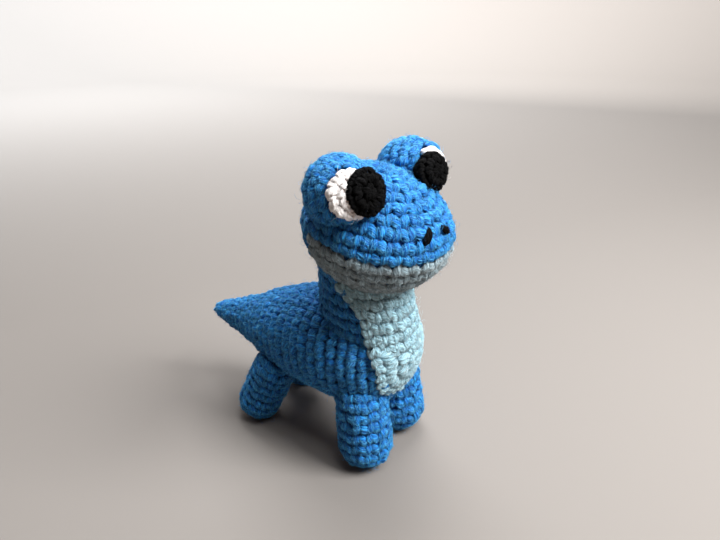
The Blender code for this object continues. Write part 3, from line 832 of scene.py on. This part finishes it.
def mound_form(sign):
    """An eye mound, whose rounds start at the eye's white."""
    centre = on_head(MOUND_CENTRE, sign)
    aim = Vector(on_head(WHITE_CENTRE, sign)) - Vector(centre)
    turn = aim.to_track_quat("Z", "Y").to_matrix().to_4x4()
    ball = dome(MOUND_RADIUS, MOUND_RADIUS, 0)[::-1] + dome(MOUND_RADIUS, -MOUND_RADIUS, 0)[1:]
    return Form(NECK @ Matrix.Translation(centre) @ turn, ball)


MOUNDS = {side: mound_form(sign) for side, sign in SIDE_SIGNS.items()}


class Disc(Form):
    """A round patch: rings about its own centre, laid on a ball along its axis. It can be
    stretched, and drawn out towards its corners."""

    def __init__(self, matrix, radius, ball_centre, ball_radius, lift, stretch=(1.0, 1.0),
                 square=0.0):
        self.ball_centre = to_local(matrix, np.array([ball_centre]))[0]
        self.ball_radius = ball_radius + lift
        self.stretch = stretch
        self.square = square
        super().__init__(matrix, [(0.0, 0.0), (radius, -radius * 0.01)])

    def local(self, angle, along):
        along = np.clip(along, 0, self.length)
        square = np.where(np.sin(angle) > 0, self.square, self.square * 0.2)
        corner = np.sin(2 * angle) ** 2 * square * (along / self.length) ** 2
        along = along * (1 + corner)
        x = along * np.cos(angle) * self.stretch[0]
        y = along * np.sin(angle) * self.stretch[1]
        away = (x - self.ball_centre[0]) ** 2 + (y - self.ball_centre[1]) ** 2
        z = self.ball_centre[2] + np.sqrt(np.maximum(self.ball_radius ** 2 - away, 1.0))
        return np.stack([x, y, z], -1)


def world_point(matrix, point):
    return np.array(matrix @ Vector(point))


# --- Pieces ---

def clear_of_chest_patch(centres):
    """True where the chest patch does not cover the body."""
    middle = design(0, 0, CHEST_PANEL_HEIGHT)
    x = (centres[..., 0] - middle.x) / (CHEST_PANEL_RADIUS + 1.2)
    z = (centres[..., 2] - middle.z) / (CHEST_PANEL_RADIUS - 1.2)
    return (np.hypot(x, z) >= 1) | (centres[..., 1] >= design(*BODY_ORIGIN).y)


def build_body():
    """Rounds about the body's axis, from the middle of the chest to the tail's tip."""
    chest, belly, tail = Yarn(), Yarn(), Yarn()
    split = TORSO.height_at(TAIL_START)
    belly_from = TORSO.height_at(BELLY_AT)
    keep = both(outside(*LEG_FORMS.values(), by=2.8), outside(NECK_FORM, by=3.2),
                clear_of_chest_patch)

    def choose(middle):
        return [(tail if middle > split else belly if middle > belly_from else chest, keep)]

    lay_rounds(choose, TORSO, row_edges(0.0, TORSO.length - 0.4, BODY_ROW_HEIGHT), ridge=0.7)
    chest.shell(TORSO, 0.0, belly_from + 2, BACKING + 0.5)
    belly.shell(TORSO, belly_from, split + 4, BACKING)
    tail.shell(TORSO, split - 2, TORSO.length, BACKING + 0.2, sides=32)
    chest.make("body_yarn_chest", BLUE, ["body"], "body_cover", SOFT)
    belly.make("body_yarn_belly", BLUE, ["body"], "body_cover", SOFT)
    bodies = ["body", "tail"]
    bend = (world_point(BODY, (0, 0, TAIL_START)), world_point(BODY, (0, 0, TAIL_START + 12)))
    tail.make("tail_yarn", BLUE, bodies, "tail_cover", SOFT, bend)
    stuff("body_filling", "body_stuffing", TORSO, 1.0, split, 3.4, 40, 0.5, ["body"])
    stuff("tail_filling", "tail_stuffing", TORSO, split + 3, TORSO.length - 2, 2.9, 24, 0.2,
          bodies, bend)


def build_legs():
    """Rounds from the sole up; the top of each leg is sewn to the body."""
    keep = outside(TORSO, by=2.2)
    for (where, side), form in LEG_FORMS.items():
        name = where + "_" + side
        cover = Yarn()
        lay_rounds(always((cover, keep)), form, row_edges(0.0, form.length - 2.4))
        cover.shell(form, 0.0, form.length - 0.4, BACKING, sides=32)
        hip = np.array(form.matrix.translation)
        bend = (hip - (0, 0, 9.0), hip + (0, 0, 1.0))
        bodies = ["leg_" + name, "body"]
        cover.make("leg_yarn_" + name, BLUE, bodies, "leg_cover_" + name, SOFT, bend)
        stuff("leg_filling_" + name, "leg_stuffing_" + name, form, 1.0, form.length - 4, 3.2,
              24, 0.3, bodies, bend)


def throat_reach(height):
    """How far round from the front the throat panel goes, in degrees, by height from the
    nod pivot."""
    return np.interp(height, THROAT_HEIGHTS, THROAT_REACHES)


def clear_of_throat(centres):
    """True where the throat panel does not cover the neck."""
    local = to_local(NECK, centres)
    side = np.arctan2(local[..., 0] / NECK_FORM.scale[0], -local[..., 1])
    return np.abs(np.degrees(side)) > throat_reach(local[..., 2]) - 1


def build_neck():
    """Level rounds from the shoulders up into the head."""
    lower, upper = Yarn(), Yarn()
    floor, split = NECK_FORM.height_at(NECK_FLOOR), NECK_FORM.height_at(NECK_SPLIT)
    keep = both(outside(TORSO, by=3.0), outside(HEAD_FORM, by=4.5), clear_of_throat)

    def choose(middle):
        return [(lower if middle < split else upper, keep)]

    lay_rounds(choose, NECK_FORM, row_edges(floor, NECK_FORM.height_at(NECK_TOP)))
    lower.shell(NECK_FORM, floor, split + 2, BACKING)
    upper.shell(NECK_FORM, split - 1, NECK_FORM.length, BACKING + 0.2)
    lower.make("neck_yarn_lower", BLUE, ["body", "neck"], "neck_cover", SOFT, TURN_SPAN)
    upper.make("neck_yarn_upper", BLUE, ["neck", "head"], "neck_cover", SOFT, NOD_SPAN)
    stuff("neck_filling", "neck_stuffing", NECK_FORM, floor + 1, split + 4, 3.6, 36, 0.4,
          ["body", "neck"], TURN_SPAN)


def build_head():
    """Level rounds: pale below the mouth in front, blue above it and behind."""
    cover, jaw = Yarn(), Yarn()
    mouth = HEAD_FORM.height_at(MOUTH_LEVEL)
    clear = both(outside(*MOUNDS.values(), by=2.0), outside(NECK_FORM, by=2.5))

    def in_front(centres):
        return to_local(SKULL, centres)[..., 1] < JAW_BACK - 2.5

    def behind(centres):
        return ~in_front(centres)

    below = always((jaw, both(clear, in_front)), (cover, both(clear, behind)))
    above = always((cover, clear))
    lower = row_edges(mouth, 0.4)[::-1]
    upper = row_edges(mouth, HEAD_FORM.length - 0.4)
    lay_rounds(below, HEAD_FORM, lower[:2], lift=0.05)
    lay_rounds(below, HEAD_FORM, lower[1:])
    lay_rounds(above, HEAD_FORM, upper[:2], lift=-0.2)
    lay_rounds(above, HEAD_FORM, upper[1:])
    cover.shell(HEAD_FORM, 0.0, HEAD_FORM.length, BACKING + 0.1, sides=64)

    reach = math.asin(JAW_BACK / HEAD_RADII[1])

    def under_jaw(u, v):
        angle = -math.pi - reach + u * (math.pi + 2 * reach)
        along = 2.0 + v * (mouth - 2.4)
        return HEAD_FORM.at(angle, along), HEAD_FORM.normal(angle, along)

    jaw.patch(under_jaw, 48, 14, -1.6, -2.0)
    cover.make("head_yarn", BLUE, ["head"], "head_cover", FIRM)
    # The jaw is stitched in the darker copy of the pale yarn: painted shade.
    jaw.make("jaw_yarn", JAW_PAINTED_SHADE, ["head"], "jaw_cover", FIRM)
    stuff("head_filling", "head_stuffing", HEAD_FORM, 1.0, HEAD_FORM.length - 1, 3.6, 40, 0.5,
          ["head"])


def build_nostrils():
    """Short satin stitches of black yarn that lean in at their tops and dive in at both
    ends."""
    wide, deep, tall = [radius - 0.1 for radius in HEAD_RADII]
    t = np.linspace(-1, 1, LEG_RINGS)
    bow = np.cos(t * math.pi / 2)
    size = (0.35 + 0.55 * bow ** 0.6)[None]
    out = to_world(SKULL, np.array([[[0, -30.0, 8.0]]])) - to_world(SKULL, np.zeros((1, 1, 3)))
    normals = unit(np.repeat(out, LEG_RINGS, axis=1))
    for side, sign in SIDE_SIGNS.items():
        yarn = Yarn()
        gap, half, slant = NOSTRILS[side]
        for spread, lift in ((-gap, 0.0), (gap, 0.0), (0.0, 0.35)):
            x = sign * (4.1 - slant * t) - 0.3 * (slant - 1.1) + spread * bow
            z = 8.0 + half * t
            y = -deep * np.sqrt(1 - (x / wide) ** 2 - (z / tall) ** 2)
            y = y + 0.8 * (1 - bow ** 0.5) - lift
            centres = to_world(SKULL, np.stack([x, y, z], -1))[None]
            yarn.tubes(centres, normals, size, size * 0.85, bow[None], hairs=1)
        yarn.make("nostril_yarn_" + side, BLACK, ["head"], "nostril_stitch_" + side)


def beyond(matrix, radius):
    """Keeps stitches that lie further from a frame's Z axis than a radius."""
    return lambda centres: np.linalg.norm(to_local(matrix, centres)[..., :2], axis=-1) > radius


def build_eyes():
    """A blue mound, a white disc and a thick black pupil on each side."""
    for side, sign in SIDE_SIGNS.items():
        mound = MOUNDS[side]
        ball = np.array(mound.matrix.translation)
        white_at, white_aim, white_lift, pupil_at, pupil_scale = EYES[side]
        white_frame = eye_frame(white_at, white_aim, sign)
        pupil_frame = eye_frame(pupil_at, PUPIL_AIM, sign)
        white_disc = Disc(white_frame, WHITE_DISC_RADIUS, ball, MOUND_RADIUS, white_lift)
        pupil_form = Form(pupil_frame, PUPIL_OUTLINE, scale=pupil_scale, soften=60)

        def clear_of_white(centres):
            x, y, z = np.moveaxis(to_local(white_frame, centres), -1, 0)
            return (np.hypot(x, y) > WHITE_DISC_RADIUS - 1.0) | (z < -3)

        cover = Yarn()
        rounds = always((cover, both(clear_of_white, outside(HEAD_FORM, by=2.0))))
        first = MOUND_RADIUS * math.asin(WHITE_RADIUS / (MOUND_RADIUS + 1.6)) - 0.9
        edges = row_edges(first, mound.length - 3, MOUND_ROW_HEIGHT)
        lay_rounds(rounds, mound, edges[:2], EYE_STITCH_WIDTH, lift=LID)
        lay_rounds(rounds, mound, edges[1:], EYE_STITCH_WIDTH)
        cover.shell(mound, 0.0, mound.length, BACKING, sides=32)
        cover.make("eye_mound_yarn_" + side, BLUE, ["head"], "eye_mound_" + side, FIRM)
        stuff("eye_mound_filling_" + side, "eye_mound_stuffing_" + side, mound, 1.0,
              mound.length - 1, 3.2, 24, 0.3, ["head"])

        white = Yarn()
        lay_rounds(always((white, beyond(pupil_frame, UNDER_PUPIL))), white_disc,
                   WHITE_ROUNDS, WHITE_STITCH_WIDTH, plump=1.05, hairs=2)
        backing(white, white_disc, WHITE_DISC_RADIUS - 1.3, -1.2, -1.9)
        white.make("eye_white_yarn_" + side, WHITE, ["head"], "eye_white_" + side)

        pupil = Yarn()
        lay_rounds(always((pupil, None)), pupil_form, PUPIL_ROUNDS, PUPIL_STITCH_WIDTH,
                   plump=0.78, hairs=3)
        pupil.shell(pupil_form, 0.0, pupil_form.length, 1.3, sides=32, step=0.8)
        pupil.make("pupil_yarn_" + side, BLACK, ["head"], "pupil_" + side)


def backing(yarn, disc, radius, outer, inner, sides=32, rings=5):
    """A closed thin lens under a disc's stitches: rings out from its pole and back under."""
    a, s = np.meshgrid(np.arange(sides) / sides * math.tau, np.linspace(0, radius, rings + 1)[1:])
    surface, normal = disc.at(a, s), disc.normal(a, s)
    points = np.concatenate([surface + normal * outer, (surface + normal * inner)[::-1]])
    yarn.closed(points, False)


def build_chest_panel():
    """The pale chest patch, open at the crease, with a chain of stitches round its rim."""
    chest_frame = frame_at(design(0, BODY_ORIGIN[1] - CHEST_SPHERE, CHEST_PANEL_HEIGHT), (90, 0, 0))
    ball = np.array(design(*BODY_ORIGIN)) + (0, 3.0, 3.4)
    disc = Disc(chest_frame, CHEST_PANEL_RADIUS, ball, CHEST_SPHERE, 2.5, (1.12, 0.93), square=0.3)
    panel = Yarn()

    def below_crease(centres):
        return centres[..., 2] < CREASE_HEIGHT

    edges = row_edges(0.0, CHEST_PANEL_RADIUS - 0.6, PANEL_ROW_HEIGHT)
    lay_rounds(always((panel, below_crease)), disc, edges, PANEL_STITCH_WIDTH)
    backing(panel, disc, CHEST_PANEL_RADIUS - 1.2, -1.1, -1.9, sides=40)
    angle = np.linspace(math.radians(128), math.radians(412), 60)
    lay_border(panel, disc, angle, np.full(angle.shape, CHEST_PANEL_RADIUS - 0.2))
    panel.make("chest_yarn", PALE, ["body"], "chest_panel")


def lay_border(yarn, form, angle, along):
    """A chain that edges a patch, a little above its form."""
    normal = form.normal(angle, along)
    lay_chain(yarn, form.at(angle, along) + normal * 0.1, normal)


def build_throat():
    """The throat above its crease: straight rows with a chain down each side."""
    outline = [(19.7, -19.0), (19.2, -14.0), (18.8, -9.0), (18.6, -4.0), (18.5, 1.0), (18.2, 9.0)]
    form = Form(NECK, outline, scale=NECK_FORM.scale, shape=neck_shape)
    low, high = Yarn(), Yarn()
    front = -math.pi / 2

    def height(along):
        return np.interp(along, form.arc, form.line[:, 1])

    edges = row_edges(0.0, form.length, PANEL_ROW_HEIGHT)
    for start, stop in zip(edges[:-1], edges[1:]):
        reach = math.radians(float(throat_reach(height((start + stop) / 2)))) - 0.1
        yarn = low if height(stop) < THROAT_SPLIT else high
        lay_strip(yarn, form, start, stop, front - reach, front + reach, THROAT_STITCH_WIDTH)
    middle = form.height_at(THROAT_SPLIT)
    for yarn, start, stop in ((low, 0.0, middle), (high, middle, form.length)):
        def slab(u, v, start=start, stop=stop):
            along = start + v * (stop - start)
            reach = np.radians(throat_reach(height(along))) - 0.12
            angle = front + (2 * u - 1) * reach
            return form.at(angle, along), form.normal(angle, along)

        yarn.patch(slab, 32, 8, -1.1, -1.8)
        along = np.linspace(start, stop, 24)
        for side in (-1, 1):
            lay_border(yarn, form, front + side * np.radians(throat_reach(height(along))), along)
    low.make("throat_yarn_lower", PALE, ["body", "neck"], "throat_panel", bend=TURN_SPAN)
    high.make("throat_yarn_upper", PALE, ["neck", "head"], "throat_panel", bend=NOD_SPAN)


# --- Studio ---

def build_floor():
    """A pale floor that curves up into a wall all round."""
    reach, curve, wall_top, sides = 1.3, 0.6, 1.6, 96
    outline = [(0.0, 0.0)] + [(r, 0.0) for r in np.linspace(0.1, reach, 8)]
    outline += [(reach + curve * math.sin(a), curve - curve * math.cos(a))
                for a in np.linspace(0, math.pi / 2, 16)[1:]]
    outline += [(reach + curve, wall_top)]
    angles = np.arange(sides) / sides * math.tau
    vertices, faces = [(0, 0, 0)], []
    for radius, height in outline[1:]:
        vertices += [(radius * math.cos(a), radius * math.sin(a), height) for a in angles]
    for j in range(sides):
        k = (j + 1) % sides
        faces.append((0, 1 + j, 1 + k))
        faces += [(base + j, base + sides + j, base + sides + k, base + k)
                  for base in range(1, 1 + (len(outline) - 2) * sides, sides)]
    mesh = bpy.data.meshes.new("studio_floor")
    mesh.from_pydata(vertices, [], faces)
    mesh.shade_smooth()
    floor = bpy.data.objects.new("studio_floor", mesh)
    bpy.context.scene.collection.objects.link(floor)
    material = bpy.data.materials.new("studio_floor")
    material.use_nodes = True
    shader = material.node_tree.nodes["Principled BSDF"]
    shader.inputs["Base Color"].default_value = (0.175, 0.162, 0.152, 1)
    shader.inputs["Roughness"].default_value = 0.9
    mesh.materials.append(material)


def area_light(name, place, target, size, power, colour):
    data = bpy.data.lights.new(name, "AREA")
    data.energy = power
    data.size = size
    data.color = colour
    light = bpy.data.objects.new(name, data)
    light.location = place
    light.visible_camera = False
    light.rotation_euler = (Vector(target) - Vector(place)).to_track_quat("-Z", "Y").to_euler()
    bpy.context.scene.collection.objects.link(light)


def build_studio():
    """The floor, the lights over the toy and on the wall, and a little warm ambience."""
    build_floor()
    toy = (0, 0, 0.06)
    area_light("key", (0.08, -0.355, 0.42), (0, 0, 0.08), 0.22, 5.7, (1.0, 0.99, 0.97))
    area_light("top", (-0.05, -0.28, 1.0), toy, 0.35, 5.0, (1.0, 1.0, 1.0))
    area_light("behind", (0.62, 0.34, 1.1), (0.6, 0.25, 0), 0.8, 25.0, (1.0, 0.99, 0.98))
    area_light("bounce", (-0.40, -0.50, 0.03), (0, 0, 0.05), 0.3, 0.4, (1.0, 0.5, 0.3))
    area_light("wall_wash_left", (0.3, 0.9, 1.2), (0.9, 1.8, 0.5), 0.8, 84, (0.90, 0.955, 1.0))
    area_light("wall_wash_right", (0.8, 0.3, 1.0), (1.9, 0.4, 1.0), 0.8, 52, (1.0, 0.97, 0.94))
    world = bpy.data.worlds.new("room")
    bpy.context.scene.world = world
    world.use_nodes = True
    background = world.node_tree.nodes["Background"]
    background.inputs["Color"].default_value = (1.0, 0.65, 0.48, 1)
    background.inputs["Strength"].default_value = 0.04
    bpy.context.scene.view_settings.view_transform = "Standard"


def build_camera():
    """The viewing angle: from the toy's right and front, a little above it."""
    azimuth, elevation, roll = [math.radians(angle) for angle in (-56.15, 25.19, -0.84)]
    target, distance = Vector((2.29, -19.5, 68.67)) * MM, 0.187
    level = math.cos(elevation)
    back = Vector((math.sin(azimuth) * level, -math.cos(azimuth) * level, math.sin(elevation)))
    data = bpy.data.cameras.new("camera")
    data.sensor_width = 36.0
    data.lens = 27.5
    data.clip_start = 0.005
    data.clip_end = 10.0
    camera = bpy.data.objects.new("camera", data)
    camera.location = target + back * distance
    camera.rotation_mode = "QUATERNION"
    aim = (-back).to_track_quat("-Z", "Y")
    camera.rotation_quaternion = aim @ Euler((0, 0, roll)).to_quaternion()
    bpy.context.scene.collection.objects.link(camera)
    bpy.context.scene.camera = camera


build_body()
build_legs()
build_neck()
build_head()
build_nostrils()
build_eyes()
build_chest_panel()
build_throat()
build_studio()
build_camera()
